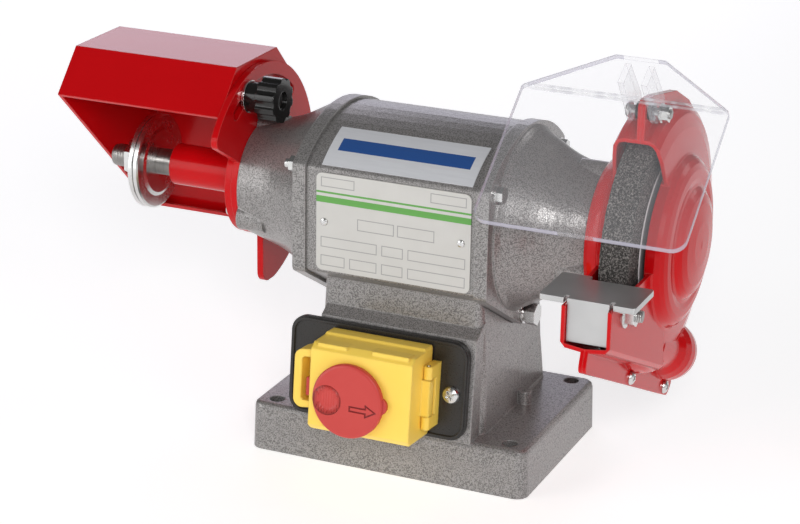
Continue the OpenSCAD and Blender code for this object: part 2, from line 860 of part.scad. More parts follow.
// Hollow yellow lid with a chamfered front, a hinge arm and a slot for the stop disc
module switch_lid() {
    x0 = lid_x - lid_w / 2;
    x1 = lid_x + lid_w / 2;
    z1 = plate_t + lid_d;
    low = lid_v - lid_h / 2;
    high = lid_v + lid_h / 2;
    side = [[lid_w0, low], [lid_w0, high], [lid_w0 + 9, high], [lid_w0 + 10, high - 1.4],
        [z1 - 4, high - 2], [z1, high - 5], [z1, low + 3], [z1 - 3, low]];
    hollow = [[lid_w0 - 2, low + lid_wall], [lid_w0 - 2, high - lid_wall],
        [z1 - 5, high - 2 * lid_wall], [z1 - lid_wall, high - 8],
        [z1 - lid_wall, low + 5], [z1 - 5, low + lid_wall]];
    color(yellow)
        on_switch()
            difference() {
                union() {
                    intersection() {
                        translate([x0, 0, 0])
                            rotate([0, -90, 180])
                                linear_extrude(height = lid_w)
                                    polygon([for (p = side) [p[0], -p[1]]]);
                        linear_extrude(height = 80)
                            translate([lid_x, lid_v])
                                plate2d(lid_w, lid_h + 2, 3);
                    }
                    sw_box([x1 - 3, pin_v - 10, pin_w - hinge_r],
                        [pin_x + hinge_r, pin_v + 10, pin_w + hinge_r]);
                    sw_box([x1 - 24, high - 9, z1 - 9], [x1 - 3, high - 1.4, z1 - 1.6]);
                    sw_box([x0 + 3, high - 9, z1 - 9], [x0 + 20, high - 1.7, z1 - 1.6]);
                }
                translate([x0 + lid_wall, 0, 0])
                    rotate([0, -90, 180])
                        linear_extrude(height = lid_w - 2 * lid_wall)
                            polygon([for (p = hollow) [p[0], -p[1]]]);
                translate([pin_x, -40, pin_w])
                    rotate([-90, 0, 0])
                        cylinder(r = hinge_pin_r + run, h = 80);
                sw_box([stop_x - 6 - slip, stop_v - 6 - slip, z1 - 4],
                    [stop_x + 6 + stop_travel + slip, stop_v + 6 + slip, z1 + 2]);
                sw_box([x0 - 1, stop_v - 5 - slip, z1 - 12 - slip],
                    [x0 + 4, stop_v + 5 + slip, z1 - 9 + slip]);
            }
}

// Red disc on the lid with its stem, catch tongue, thumb recess and arrow groove
module stop_disc() {
    x0 = lid_x - lid_w / 2;
    z1 = plate_t + lid_d;
    arrow = [[0, -1.6], [9.2, -1.6], [9.2, -3.8], [16, 0], [9.2, 3.8], [9.2, 1.6], [0, 1.6]];
    color(red)
        on_switch()
            difference() {
                union() {
                    translate([stop_x, stop_v, z1 + slip])
                        rotate_extrude($fn = 96)
                            polygon([[0, 0], [stop_r - 0.8, 0], [stop_r, 0.8], [stop_r, 3],
                                [stop_r - 0.5, 3.7], [stop_r - 1.6, 4], [0, 4]]);
                    translate([stop_x + stop_r - 3, stop_v, z1 + slip])
                        cylinder(r = 5, h = 2.2);
                    sw_box([stop_x - 6, stop_v - 6, z1 - 12], [stop_x + 6, stop_v + 6, z1 + 1]);
                    sw_box([x0 - 6, stop_v - 5, z1 - 12], [stop_x + 2, stop_v + 5, z1 - 9]);
                }
                intersection() {
                    translate([stop_x - 11.5, stop_v - 1, z1 + slip + 14])
                        sphere(r = 13);
                    translate([stop_x - 25, stop_v - 12, z1 + slip + 1.8])
                        cube([25, 24, 5]);
                }
                translate([stop_x + 1.5, stop_v - 3.4, z1 + slip + 3.5])
                    linear_extrude(height = 2)
                        difference() {
                            polygon(arrow);
                            polygon([[0.8, -0.8], [10, -0.8], [10, -2.4], [14.4, 0], [10, 2.4],
                                [10, 0.8], [0.8, 0.8]]);
                        }
            }
}

// Guard halves: dished covers round the wheel, a front channel under the rest,
// a rear outlet tube, an upright fin and a lower flange along the split
grow = band_r - 72;
chin_top = rest_top - rest_t - 0.4;
outer_skin = [[72, 0], [72, 5], [70.5, 7.8], [67, 10], [60, 11.6], [50, 12.6], [47.2, 13],
    [45.8, 13.6], [45.2, 14.8], [44.2, 16.6], [42, 18.4], [39, 19.5], [35, 19.9], [31.8, 19.6],
    [30, 20], [28.8, 21.4], [26.5, 23.1], [22, 24.5], [12, 25.5], [0, 25.8]];
outer_lining = [[70, 0], [70, 4.6], [68.9, 6.5], [66.2, 8.1], [59.6, 9.6], [49.8, 10.6],
    [46.6, 10.9], [46, 9], [43.4, 9], [43.1, 14.6], [42.5, 15.6], [40.9, 16.9], [38.5, 17.6],
    [34.9, 17.9], [31.6, 17.6], [28.6, 18.4], [27, 20.3], [25.4, 21.4], [21.5, 22.5],
    [11.8, 23.5], [0, 23.8]];
inner_skin = [[72, 0], [72, 9], [70.8, 12.4], [67, 14.6], [60, 15.6], [50, 16.2], [46, 16.6],
    [44, 18], [43.2, 20.4], [42, 23.2], [39.5, 25.8], [37, 26.5], [0, 26.5]];
inner_lining = [[70, 0], [70, 8.6], [69, 11.4], [66.2, 12.8], [59.6, 13.6], [49.8, 14.2],
    [45, 14.6], [42.4, 16.4], [41.3, 19.6], [40.2, 22.3], [38.2, 24], [36.5, 24.5], [0, 24.5]];

// Points of a half, with the last depth of the inner half kept at the end bell
function half_pts(pts, s) = [for (p = pts)
    [p[0] == 0 ? 0 : p[0] + grow, x_split + s * p[1] * (s < 0 ? guard_off / 26.5 : 1)]];

module outlet(pts, s) {
    intersection() {
        translate([x_split, outlet_d * na[0], shaft_h + outlet_d * na[1]])
            rotate([-90 - slope, 0, 0])
                rotate_extrude()
                    polygon(pts);
        translate([s > 0 ? x_split : x_split - 60, -200, 0])
            cube([60, 400, 300]);
    }
}

// Everything under the floor of the front channel, which tilts down towards the split
module below_floor(s, depth) {
    translate([x_split, 0, shaft_h])
        rotate([-slope, 0, 0])
            translate([0, 0, -depth])
                rotate([0, -s * floor_tilt, 0])
                    translate([-40, -160, -30])
                        cube([80, 200, 30]);
}

// Slanted strip that breaks the lower outside corner of the front channel
module channel_corner(s) {
    translate([x_split + s * (chin_in + sheet), 0, shaft_h])
        rotate([-slope, 0, 0])
            translate([0, -60, (chin_in + sheet) * tan(floor_tilt) - floor_d - floor_drop])
                rotate([0, 45, 0])
                    cube([3.2, 220, 3.2], center = true);
}

module guard_half(s, skin, lining) {
    lip = [-chin_y, front_z];
    low = floor_d - sheet;
    out = chin_in + sheet;
    a0 = s > 0 ? x_split : x_split - out;
    c0 = s > 0 ? x_split - 1 : x_split - chin_in;
    f0 = s > 0 ? x_split : x_split - fin_t;
    difference() {
        union() {
            turned(concat([[0, x_split]], half_pts(skin, s)));
            difference() {
                shaft_slab(a0, a0 + out)
                    polygon([[-chin_y, chin_top], lip - [0, 3], (floor_d + 2) * na,
                        15 * ta + (floor_d + 2) * na, [-20, -30], [-42, chin_top]]);
                below_floor(s, floor_d + floor_drop);
                channel_corner(s);
            }
            outlet([[0, 12], [12.4, 12], [12.4, 40], [15, 46], [16.6, 52], [17, 58], [16.4, 64],
                [14.6, 69], [12.6, 71], [0, 71]], s);
            shaft_slab(f0, f0 + fin_t)
                difference() {
                    union() {
                        polygon(rounded([lip, lip + flange_h * na + [1, 0],
                            70 * ta + (floor_d + flange_h) * na, 76 * ta + (floor_d + 3) * na,
                            60 * ta + (floor_d - 5) * na, 20 * ta + (floor_d - 4) * na],
                            [0, 4, 6, 3, 0, 0]));
                        polygon(rounded([[-35, 61], [-35.5, 84], [-20, 83], [-7, 80.5], [17.3, 76],
                            [40.8, 65], [51, 57], [57.5, 48.5], [50, 44]],
                            [0, 5, 0, 0, 0, 0, 4, 3, 0]));
                    }
                    circle(r = band_r - 1);
                }
        }
        turned(concat([[0, x_split - s], [70 + grow, x_split - s]], half_pts(lining, s)));
        difference() {
            shaft_slab(c0, c0 + chin_in + 1)
                difference() {
                    polygon([[-chin_y - 1, 5], -125 * ta + (low + 4) * na,
                        10 * ta + (low + 4) * na, [-20, -30], [-30, 5]]);
                    circle(r = 46.3 + grow);
                }
            below_floor(s, floor_d + floor_drop - sheet / cos(floor_tilt));
        }
        outlet([[0, 1], [10.4, 1], [10.4, 41], [13.4, 47], [14.8, 53], [15, 57], [14.4, 62],
            [12.6, 66], [10.6, 68], [10.6, 72], [0, 72]], s);
        shaft_slab(x_split - 40, x_split + 40)
            difference() {
                polygon([[-35, 110], [-35, 62], [-25, 36], [-28, 20], [-40, chin_top],
                    [-140, chin_top], [-140, 110]]);
                circle(r = 45.5 + grow);
            }
        for (k = rivet_s) {
            side_bar(k * ta + (floor_d + 7) * na, 2.1, x_split - 5, x_split + 5);
            side_bar(k * ta + (floor_d + 7) * na, 4.1, s > 0 ? x_split + fin_t : x_split - fin_t - 4,
                s > 0 ? x_split + fin_t + 4 : x_split - fin_t);
        }
        side_bar(pivot, pivot_r + fit, x_split - 5, x_split + 5);
    }
}

module guard_outer() {
    color(red)
        difference() {
            guard_half(1, outer_skin, outer_lining);
            side_bar(stud, stud_r + fit, x_split + 5, x_split + 20);
        }
}

module guard_inner() {
    color(red)
        difference() {
            guard_half(-1, inner_skin, inner_lining);
            bar(15, x_bell - 1, x_bell + 4);
            for (a = bell_screw_a)
                side_bar(bell_screw_r * [cos(a), sin(a)], screw_r + 0.2, x_bell - 1, x_bell + 4);
        }
}

module side_screw(p, x, r, h, shank, l) {
    translate([x, p[0], shaft_h + p[1]])
        rotate([0, 90, 0])
            rotate([0, 0, 20])
                pan_head(r, h, shank, l);
}

module guard_screws() {
    color(zinc)
        for (k = rivet_s)
            side_screw(k * ta + (floor_d + 7) * na, x_split + fin_t, 3.8, 2.4, 2, 10);
}

module guard_nuts() {
    color(zinc)
        for (k = rivet_s)
            difference() {
                side_bar(k * ta + (floor_d + 7) * na, 3.8, x_split - fin_t - 3.2, x_split - fin_t, 6);
                side_bar(k * ta + (floor_d + 7) * na, 2 + fit, x_split - 12, x_split);
            }
}

// Screws that hold the guard at one end and the bracket and tube at the other
module bell_screws() {
    color(zinc) {
        for (a = bell_screw_a)
            side_screw(bell_screw_r * [cos(a), sin(a)], x_bell + sheet, 4.4, 2.8, screw_r, 10);
        mirror([1, 0, 0])
            for (a = bell_screw_a)
                side_screw(bell_screw_r * [cos(a), sin(a)], x_ear + tube_flange_t, 4.4, 2.8,
                    screw_r, 16);
    }
}

module wheel() {
    half = wheel_t / 2;
    color([0.33, 0.32, 0.31])
        turned([[seat_r + fit, x_wheel - half], [wheel_r - 0.6, x_wheel - half],
            [wheel_r, x_wheel - half + 0.6], [wheel_r, x_wheel + half - 0.6],
            [wheel_r - 0.6, x_wheel + half], [seat_r + fit, x_wheel + half]]);
}

module wheel_papers() {
    color([0.75, 0.7, 0.55])
        for (x = [x_wheel - wheel_t / 2 - paper_t, x_wheel + wheel_t / 2])
            difference() {
                bar(paper_r, x, x + paper_t);
                bar(seat_r + fit, x - 1, x + paper_t + 1);
            }
}

module wheel_flanges() {
    color(zinc)
        for (s = [-1, 1]) {
            x0 = x_wheel + s * (wheel_t / 2 + paper_t);
            turned([[seat_r + fit, x0], [wheel_flange_r, x0],
                [wheel_flange_r, x0 + s * 2], [wheel_flange_r - 3, x0 + s * wheel_flange_t],
                [seat_r + fit, x0 + s * wheel_flange_t]]);
        }
}

module wheel_nut() {
    color(zinc)
        difference() {
            side_bar([0, 0], nut_r, x_clamp, x_clamp + thin_nut_h, 6);
            bar(thread_r + fit, x_clamp - 1, x_clamp + thin_nut_h + 1);
        }
}

// Rest plate with a turned-down front tab and a slotted web inside the channel
module tool_rest() {
    x0 = x_split - rest_w / 2 - 0.8;
    x1 = x0 + rest_w;
    t0 = x_split - chin_in + slip;
    t1 = x_split + chin_in - slip;
    top = shaft_h + rest_top;
    color(zinc)
        difference() {
            union() {
                translate([0, 0, top - rest_t])
                    linear_extrude(height = rest_t)
                        polygon(rounded([[x0, -rest_front], [x1, -rest_front], [x1, -rest_y - 2],
                            [t0 + 1, -rest_y - 2], [t0 + 1, -rest_y + 2.5], [x0, -rest_y + 2.5]],
                            [1.5, 1.5, 1.5, 0, 1, 1.5]));
                translate([t0, -rest_front, top - 22.6])
                    cube([t1 - t0, rest_t, 20.6]);
                translate([t1 - 2, -rest_front, top - 19])
                    cube([2, rest_front - rest_y - 1, 17]);
            }
            for (x = [t0 - 2.2, t1 + 0.2])
                translate([x, -rest_front - 1, top - 10])
                    cube([2, 5, 12]);
            hull() {
                for (y = [-5, 5])
                    side_bar(stud + [y, 0], stud_r + slip, t1 - 4, t1 + 1);
            }
        }
}

module rest_stud() {
    t1 = x_split + chin_in - slip;
    color(zinc) {
        side_bar(stud, stud_r, t1 - 2.2, x_split + chin_in + sheet + 9.5);
        side_bar(stud, 5.4, t1 - 5.4, t1 - 2.1, 6);
    }
}

module rest_nut() {
    x0 = x_split + chin_in + sheet;
    color(zinc)
        difference() {
            union() {
                side_bar(stud, 7, x0, x0 + 1.4);
                side_bar(stud, 5.8, x0 + 1.3, x0 + 6.5, 6);
            }
            side_bar(stud, stud_r + fit, x0 - 1, x0 + 10);
        }
}

// Clear shield: sloped front sheet, tapered top sheet and two ears astride the fin
bend_p = [-63, 92.3];
top_slope = 31.5;
top_l = 26.8;
ear_x = 4.6;

module shield() {
    fold = [bend_p - (shield_l + 5) * [cos(shield_slope), sin(shield_slope)], bend_p,
        bend_p + (top_l + 5) * [cos(top_slope), sin(top_slope)]];
    color([0.85, 0.9, 0.95, 0.4])
        difference() {
            union() {
                intersection() {
                    shaft_slab(x_split - shield_w, x_split + shield_w)
                        polygon(bent(moved(fold, -shield_t / 2), shield_t));
                    translate([x_split, bend_p[0], shaft_h + bend_p[1]])
                        rotate([(shield_slope + top_slope) / 2, 0, 0])
                            translate([0, 0, -20])
                                linear_extrude(height = 40)
                                    polygon(rounded([[-shield_w / 2, -1],
                                        [-shield_w / 2, -shield_l], [shield_w / 2, -shield_l],
                                        [shield_w / 2, -1], [13, top_l], [-13, top_l]],
                                        [3, 7, 7, 3, 2, 2]));
                }
                for (x = [-ear_x - 3, ear_x])
                    shaft_slab(x_split + x, x_split + x + 3)
                        polygon(rounded([pivot + [-6, -4.6], pivot + [6, -4.6], pivot + [6, 7],
                            bend_p + 24 * [cos(top_slope), sin(top_slope)],
                            bend_p + 11 * [cos(top_slope), sin(top_slope)]], [5, 5, 3, 0, 0]));
            }
            side_bar(pivot, pivot_r + run, x_split - 30, x_split + 30);
        }
}

module shield_bolt() {
    color(zinc) {
        side_bar(pivot, pivot_r, x_split - ear_x - 3.4, x_split + ear_x + 9);
        translate([x_split - ear_x - 3.2, pivot[0], shaft_h + pivot[1]])
            rotate([0, -90, 0])
                pan_head(4.4, 2.8, pivot_r, 1);
    }
}

module shield_nut() {
    x0 = x_split + ear_x + 3.2;
    color(zinc)
        difference() {
            union() {
                side_bar(pivot, 5, x0, x0 + 1);
                side_bar(pivot, 4.6, x0 + 0.9, x0 + 4.8, 6);
            }
            side_bar(pivot, pivot_r + fit, x0 - 1, x0 + 10);
        }
}

// Distance rings between the fin and the ears of the shield
module shield_spacers() {
    color(zinc)
        for (x = [-ear_x + 0.2, fin_t])
            difference() {
                side_bar(pivot, 4.5, x_split + x, x_split + x + ear_x - fin_t - 0.2);
                side_bar(pivot, pivot_r + fit, x_split - 20, x_split + 20);
            }
}

// Bracket plate on the spindle end with an arc slot for the hood
module hood_bracket() {
    sector = concat([[0, 0]], corner([0, 0], ear_r * [0, -1], ear_r * [cos(-70), sin(-70)], 7, 6),
        ring_pts(ear_r, -78, 142, 60),
        corner(ear_r * [cos(140), sin(140)], ear_r * [cos(150), sin(150)], [0, 0], 5, 5));
    color(red)
        shaft_slab(-x_ear, -x_bell)
            difference() {
                union() {
                    circle(r = bell_r);
                    polygon(sector);
                }
                circle(r = shaft_r + 2);
                polygon(concat(ring_pts(slot_r + slot_w / 2, slot_a0, slot_a1, 30),
                    [for (p = ring_pts(slot_w / 2, slot_a1 + 15, slot_a1 + 165, 10))
                        p + slot_r * [cos(slot_a1), sin(slot_a1)]],
                    ring_pts(slot_r - slot_w / 2, slot_a1, slot_a0, 30),
                    [for (p = ring_pts(slot_w / 2, slot_a0 + 195, slot_a0 + 345, 10))
                        p + slot_r * [cos(slot_a0), sin(slot_a0)]]));
                for (a = bell_screw_a)
                    translate(bell_screw_r * [cos(a), sin(a)])
                        circle(r = screw_r + 0.2);
            }
}

module spindle_tube() {
    color(red)
        difference() {
            union() {
                bar(bell_r - 0.5, -x_ear - tube_flange_t, -x_ear);
                bar(tube_r, -x_tube, -x_ear - 1);
            }
            bar(shaft_r + 1, -x_tube - 1, -x_ear + 1);
            for (a = bell_screw_a)
                side_bar(bell_screw_r * [cos(a), sin(a)], screw_r + 0.2, -x_ear - 6, -x_ear + 1);
        }
}

// Hood: bent sheet over the spindle with two end walls
module hood() {
    wall = -x_hood;
    last = len(hood_pts) - 1;
    claw = concat(ring_pts(58, -80, -36, 12), [[20, -10]]);
    color(red)
        difference() {
            union() {
                shaft_slab(wall - hood_l, wall)
                    polygon(bent(hood_pts, sheet));
                shaft_slab(wall - hood_l, wall - hood_l + sheet)
                    polygon(hood_pts);
                shaft_slab(wall - sheet, wall) {
                    polygon(hood_pts);
                    polygon(claw);
                }
            }
            bar(bell_r - 0.5 + slip, wall - sheet - 1, wall + 1);
            side_bar(knob_p, stud_r + 0.2, wall - sheet - 1, wall + 1);
        }
}

// Nut welded inside the hood for the knob
module hood_nut() {
    wall = -x_hood;
    color(zinc)
        difference() {
            side_bar(knob_p, 6.4, wall - sheet - 5, wall - sheet, 6);
            side_bar(knob_p, stud_r + run, wall - sheet - 6, wall);
        }
}

module knob_washer() {
    color([0.85, 0.85, 0.86])
        difference() {
            side_bar(knob_p, 9, -x_bell + 0.2, -x_bell + 1.8);
            side_bar(knob_p, stud_r + run, -x_bell - 1, -x_bell + 3);
        }
}

// Fluted clamp knob with its threaded stud
module hood_knob() {
    x0 = -x_bell + 1.9;
    color(black) {
        side_bar(knob_p, stud_r, -x_hood - sheet - 7, x0 + 1);
        difference() {
            union() {
                side_bar(knob_p, 8.5, x0, x0 + 10);
                side_bar(knob_p, knob_r, x0 + 8, x0 + 19.5);
            }
            for (a = [0 : 36 : 324])
                side_bar(knob_p + (knob_r + 1.6) * [cos(a), sin(a)], 3, x0 + 7, x0 + 21);
            side_bar(knob_p, 5, x0 + 18, x0 + 21);
        }
    }
}

// Two clamp discs for a brush, dished towards each other
module clamp_discs() {
    color(zinc)
        for (k = [0, 1]) {
            x0 = -x_shoulder - k * (disc_t + disc_gap);
            face = k == 0 ? x0 : x0 - disc_t;
            meet = k == 0 ? x0 - disc_t : x0;
            s = k == 0 ? -1 : 1;
            turned([[thread_r + fit, face], [disc_r - 9, face], [disc_r - 7, face + s * 0.8],
                [disc_r - 1, face + s * 0.8], [disc_r, face + s * 1.6], [disc_r, meet - s * 0.4],
                [disc_r - 0.4, meet], [disc_r - 6, meet], [disc_r - 7, meet - s * 1.2],
                [12, meet - s * 1.2], [11, meet], [thread_r + fit, meet]]);
        }
}

module spindle_washer() {
    color(zinc)
        difference() {
            bar(12, -x_nut, -x_washer);
            bar(thread_r + fit, -x_nut - 1, -x_washer + 1);
        }
}

module spindle_nut() {
    color(zinc)
        difference() {
            side_bar([0, 0], nut_r, -x_nut - nut_h, -x_nut, 6);
            bar(thread_r + fit, -x_nut - nut_h - 1, -x_nut + 1);
        }
}

housing();
bottom_cover();
cover_screws();
left_end_bell();
right_end_bell();
tie_rods();
tie_nuts();
stator_core();
stator_windings();
bearing_outer_rings();
bearing_inner_rings();
preload_washer();
rotor_core();
shaft();
capacitor();
capacitor_clip();
terminal_block();
cable_gland();
rating_plate();
plate_rivets();
label_panel();
switch_plate();
switch_screws();
switch_body();
start_button();
stop_button();
lid_frame();
lid_pin();
switch_lid();
stop_disc();
guard_inner();
guard_outer();
guard_screws();
guard_nuts();
bell_screws();
wheel();
wheel_papers();
wheel_flanges();
wheel_nut();
tool_rest();
rest_stud();
rest_nut();
shield();
shield_bolt();
shield_nut();
shield_spacers();
hood_bracket();
spindle_tube();
hood();
hood_nut();
knob_washer();
hood_knob();
clamp_discs();
spindle_washer();
spindle_nut();
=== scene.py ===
# %% [markdown]
# # Combination bench grinder
# The packed solids already hold the shapes of the machine, so this lesson is about its finishes
# and the small forms that solids leave plain: screw threads, the grit of the wheel and the ribs
# under the thumb. The frame is loaded first.

# %% Load the frame
import bpy
import math
import numpy as np
from mathutils import Matrix, Vector


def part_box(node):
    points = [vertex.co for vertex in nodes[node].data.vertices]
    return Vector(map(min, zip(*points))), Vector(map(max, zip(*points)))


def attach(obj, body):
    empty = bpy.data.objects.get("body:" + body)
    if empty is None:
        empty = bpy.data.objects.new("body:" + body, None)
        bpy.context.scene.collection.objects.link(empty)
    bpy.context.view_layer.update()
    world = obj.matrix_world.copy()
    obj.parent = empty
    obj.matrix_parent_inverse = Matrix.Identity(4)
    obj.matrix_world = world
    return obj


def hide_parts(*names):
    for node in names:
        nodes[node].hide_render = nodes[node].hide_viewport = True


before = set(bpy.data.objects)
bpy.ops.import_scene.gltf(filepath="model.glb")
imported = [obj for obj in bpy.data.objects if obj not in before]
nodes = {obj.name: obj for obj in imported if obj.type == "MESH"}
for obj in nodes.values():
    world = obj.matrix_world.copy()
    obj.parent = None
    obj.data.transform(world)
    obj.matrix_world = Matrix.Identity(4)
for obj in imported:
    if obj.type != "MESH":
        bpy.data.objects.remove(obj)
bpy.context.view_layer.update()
mm = 0.001
shaft_z = 138.0

# %% [markdown]
# ## Camera
# A long lens stands off to the right of the front and looks down on the machine. Its place is
# worked out from a target point, two angles and a distance, and a small roll levels the picture.

# %% Camera
azimuth, elevation, roll = math.radians(23.40), math.radians(19.99), math.radians(1.00)
target = Vector((-17.354, 0.0, 100.75)) * mm
distance = 1345.13 * mm
focal_px, image_width = 2432.69, 800

back = Vector((math.sin(azimuth) * math.cos(elevation),
               -math.cos(azimuth) * math.cos(elevation), math.sin(elevation)))
level_right = Vector((math.cos(azimuth), math.sin(azimuth), 0))
level_up = back.cross(level_right)
right = math.cos(roll) * level_right + math.sin(roll) * level_up
up = -math.sin(roll) * level_right + math.cos(roll) * level_up

camera_data = bpy.data.cameras.new("camera")
camera_data.sensor_width = 36
camera_data.lens = focal_px * 36 / image_width
camera_data.clip_end = 20
camera = bpy.data.objects.new("camera", camera_data)
place = Matrix((right, up, back)).transposed().to_4x4()
place.translation = target + distance * back
camera.matrix_world = place
bpy.context.scene.collection.objects.link(camera)
bpy.context.scene.camera = camera
print("lens:", round(camera_data.lens, 2), "mm, camera at", tuple(round(v, 3) for v in place.translation))

# %% [markdown]
# ## Shader sums
# Each finish is a sum of a few masks, and sums read best as sums. This class wraps one socket, so
# that plus, minus, times and comparisons add the Math nodes, and one method adds any other node.

# %% A socket that can be added and multiplied
class Socket:
    """One output socket of a material's node tree, used in Python arithmetic."""

    def __init__(self, tree, output):
        self.tree, self.output = tree, output

    def add(self, kind, settings=None, inputs=None, out=0):
        """Adds a node of any kind: its settings first, then the values or links of its sockets."""
        node = self.tree.nodes.new(kind)
        for name, value in (settings or {}).items():
            setattr(node, name, value)
        for name, value in (inputs or {}).items():
            if isinstance(value, Socket):
                self.tree.links.new(value.output, node.inputs[name])
            else:
                node.inputs[name].default_value = value
        return Socket(self.tree, node.outputs[out])

    def sum(self, operation, *values):
        """A Math node on this socket and the values."""
        return self.add("ShaderNodeMath", {"operation": operation}, dict(enumerate((self,) + values)))

    def turned_sum(self, operation, value):
        """A Math node with the number first and this socket second."""
        return self.add("ShaderNodeMath", {"operation": operation}, {0: value, 1: self})

    def __add__(self, v): return self.sum("ADD", v)
    def __radd__(self, v): return self.turned_sum("ADD", v)
    def __sub__(self, v): return self.sum("SUBTRACT", v)
    def __rsub__(self, v): return self.turned_sum("SUBTRACT", v)
    def __mul__(self, v): return self.sum("MULTIPLY", v)
    def __rmul__(self, v): return self.turned_sum("MULTIPLY", v)
    def __truediv__(self, v): return self.sum("DIVIDE", v)
    def __rtruediv__(self, v): return self.turned_sum("DIVIDE", v)
    def __gt__(self, v): return self.sum("GREATER_THAN", v)
    def __lt__(self, v): return self.sum("LESS_THAN", v)
    def __abs__(self): return self.sum("ABSOLUTE")

    def between(self, low, high):
        """1 where the value lies between low and high, else 0."""
        return (self > low) * (self < high)

    def fade(self, low, high):
        """0 below low, 1 above high, and a straight slope from one to the other."""
        return self.add("ShaderNodeMapRange", {"clamp": True},
                        {"Value": self, "From Min": low, "From Max": high})

    def mix(self, first, second):
        """A colour that goes from the first to the second as this value goes from 0 to 1."""
        return self.add("ShaderNodeMix", {"data_type": "RGBA", "clamp_factor": True},
                        {0: self, 6: first, 7: second}, out=2)

    def smaller(self, v): return self.sum("MINIMUM", v)


def colour(r, g, b):
    """A colour given as red, green and blue in linear light, with full cover."""
    return (r, g, b, 1.0)


print("operators:", [name for name in vars(Socket) if name.startswith("__")][:6], "and more")

# %% [markdown]
# ## The start of every finish
# Painted castings and pressed sheet have no knife edges. Modelling a small round on every edge is
# slow, so the Bevel node bends the normal near an edge instead. Where the bent normal leaves the
# true one there is an edge, which gives a mask at no cost: for wear, and for painted highlights.

# %% Start of a finish
class Finish:
    """A material with its shader, its object coordinates in millimetres and its softened edges."""

    def __init__(self, name, edge=0.5, **constants):
        self.material = bpy.data.materials.new(name)
        self.material.use_nodes = True
        self.tree = self.material.node_tree
        self.shader = self.tree.nodes["Principled BSDF"]
        for socket, value in constants.items():
            self.shader.inputs[socket.replace("_", " ")].default_value = value
        self.coords = Socket(self.tree, self.tree.nodes.new("ShaderNodeTexCoord").outputs["Object"])
        split = self.coords.add("ShaderNodeSeparateXYZ", inputs={0: self.coords})
        axes = split.output.node.outputs
        self.x, self.y, self.z = (Socket(self.tree, axes[k]) * 1000.0 for k in range(3))
        self.soft = None
        if edge:
            self.soft = self.coords.add("ShaderNodeBevel", {"samples": 4}, {"Radius": edge * mm})
            self.tree.links.new(self.soft.output, self.shader.inputs["Normal"])

    def edges(self, low=0.02, high=0.16):
        """A mask that is 1 on edges: one minus the product of the softened and the true normal."""
        true = Socket(self.tree, self.tree.nodes.new("ShaderNodeNewGeometry").outputs["Normal"])
        same = true.add("ShaderNodeVectorMath", {"operation": "DOT_PRODUCT"}, {0: self.soft, 1: true}, out=1)
        return (1.0 - same).fade(low, high)

    def noise(self, size, detail=2.0, rough=0.5, stretch=None):
        """Cloudy noise from 0 to 1, with lumps of about the given size in millimetres."""
        at = self.coords
        if stretch:
            at = self.coords.add("ShaderNodeMapping", inputs={"Vector": self.coords, "Scale": stretch})
        return self.coords.add("ShaderNodeTexNoise", inputs={
            "Vector": at, "Scale": 1000.0 / size, "Detail": detail, "Roughness": rough})

    def cells(self, size, feature="F1", jitter=1.0):
        """Distance to the middle of the nearest cell, for cells of about the given size in millimetres."""
        return self.coords.add("ShaderNodeTexVoronoi", {"feature": feature},
                               {"Vector": self.coords, "Scale": 1000.0 / size, "Randomness": jitter})

    def set(self, socket, value):
        """Links a value to one of the shader's sockets."""
        self.tree.links.new(value.output, self.shader.inputs[socket])
        return self

    def relief(self, height, depth, strength=1.0):
        """Bumps of the given depth in millimetres, laid over the softened edges."""
        inputs = {"Height": height, "Distance": depth * mm, "Strength": strength}
        if self.soft:
            inputs["Normal"] = self.soft
        return self.set("Normal", height.add("ShaderNodeBump", inputs=inputs))


def dress(finish, *names):
    """Gives a finish to CAD nodes by putting it in their material slots."""
    for name in names:
        slots = nodes[name].data.materials
        slots.clear()
        slots.append(finish.material)
    print(finish.material.name, "on", ", ".join(names))


# %% [markdown]
# ## Hammer paint
# The castings wear hammer paint: light grey metal flake with small dark flecks where it has drawn
# apart, under a glossy film that has dried in ripples. Two noises give the flecks and the ripples,
# and a wide one lets the tone drift. Edges are lighter: partly rubbed wear, partly a painted highlight.

# %% Hammer paint
hammer = Finish("hammer_paint", edge=1.1, Specular_IOR_Level=0.5, Coat_Weight=0.1, Coat_Roughness=0.12)
flake = hammer.noise(0.62, detail=1.0, rough=0.5)
ripple = hammer.noise(1.7, detail=1.0, rough=0.5)
drift = hammer.noise(26.0)
fleck = (flake + (ripple - 0.5) * 0.25).fade(0.40, 0.56)
grey = fleck.mix(colour(0.12, 0.113, 0.111), colour(0.33, 0.318, 0.31))
grey = (drift * 0.3).mix(grey, colour(0.26, 0.25, 0.25))
# lighter edges: partly rubbed wear, partly painted highlight
grey = (hammer.edges() * 0.5).mix(grey, colour(0.5, 0.49, 0.485))
hammer.set("Base Color", grey)
hammer.set("Metallic", 0.15 + fleck * 0.3)
hammer.set("Roughness", 0.22 + flake * 0.18)
hammer.relief(ripple, 0.15, 0.8)
dress(hammer, "housing", "left_end_bell", "right_end_bell")

# %% [markdown]
# ## Red enamel
# The guards, the bracket, the tube and the hood are stove enamelled in signal red. The coat is
# glossy with a slight orange peel. The sheet's edges carry a painted highlight in a lighter pink red.

# %% Red enamel
enamel = Finish("red_enamel", edge=0.8, IOR=1.27, Specular_IOR_Level=0.5)
peel = enamel.noise(2.6, detail=2.0)
cloud = enamel.noise(34.0)
red = (cloud * 0.6).mix(colour(0.50, 0.0022, 0.0045), colour(0.57, 0.0035, 0.006))
# painted highlight: the edges are mixed towards a light pinkish red
red = (enamel.edges() * 0.45).mix(red, colour(0.8, 0.12, 0.11))
enamel.set("Base Color", red)
enamel.set("Roughness", 0.10 + peel * 0.08)
enamel.relief(peel, 0.03, 0.5)
dress(enamel, "guard_inner", "guard_outer", "hood_bracket", "spindle_tube", "hood")

